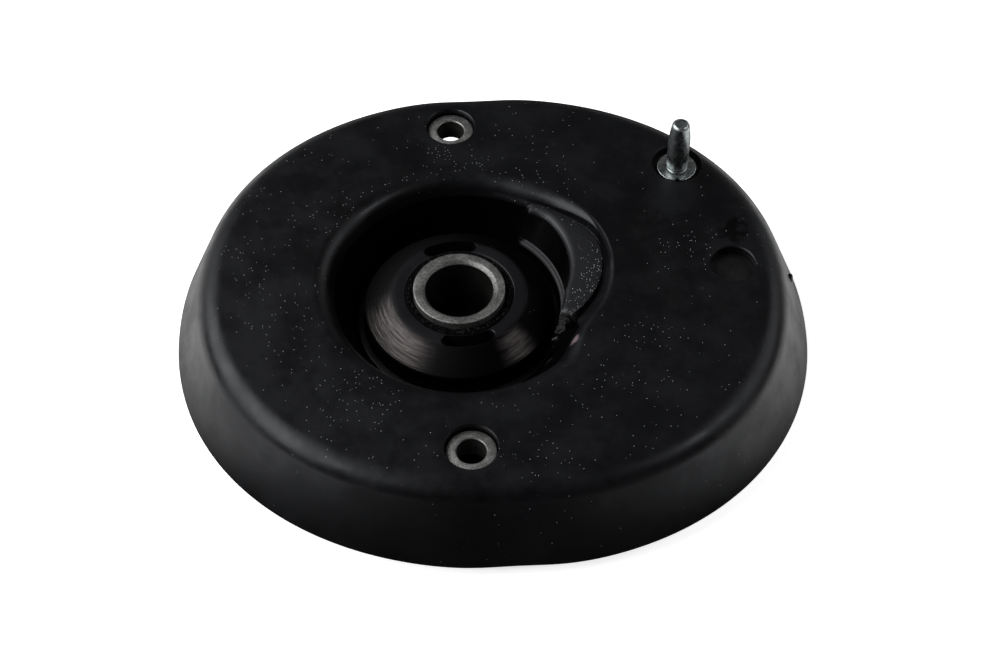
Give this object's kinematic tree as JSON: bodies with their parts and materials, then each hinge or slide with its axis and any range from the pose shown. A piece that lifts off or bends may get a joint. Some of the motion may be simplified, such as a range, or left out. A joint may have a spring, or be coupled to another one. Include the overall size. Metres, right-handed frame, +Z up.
{
  "type": "strut mount",
  "caption": "Oval rubber-covered steel dish with a bonded rubber bush and steel sleeve for a damper rod, captive nuts and a plain locating stud.",
  "frame": {"origin": "middle of the dish's outline, at the level of the neck's foot that the part stands on", "axes": "+X along the outline's longer side, from the damper's axis towards the dimple; +Y from the front nut to the rear nut; +Z up along the damper's axis, towards the body's tower"},
  "size_m": [0.2074, 0.1876, 0.0507],
  "materials": {
    "rubber": "moulded, satin, slightly dusty",
    "coated_steel": "thin black coating",
    "grey_steel": "matte grey, fine grained",
    "zinc_steel": "zinc plated, satin"
  },
  "bodies": {
    "root": {"rubber_cover": "rubber", "steel_carrier": "coated_steel", "bush_outer_ring": "coated_steel", "bush_rubber": "rubber", "inner_sleeve": "grey_steel", "captive_nut_front": "grey_steel", "captive_nut_rear": "grey_steel", "locating_stud": "zinc_steel"}
  },
  "joints": []
}
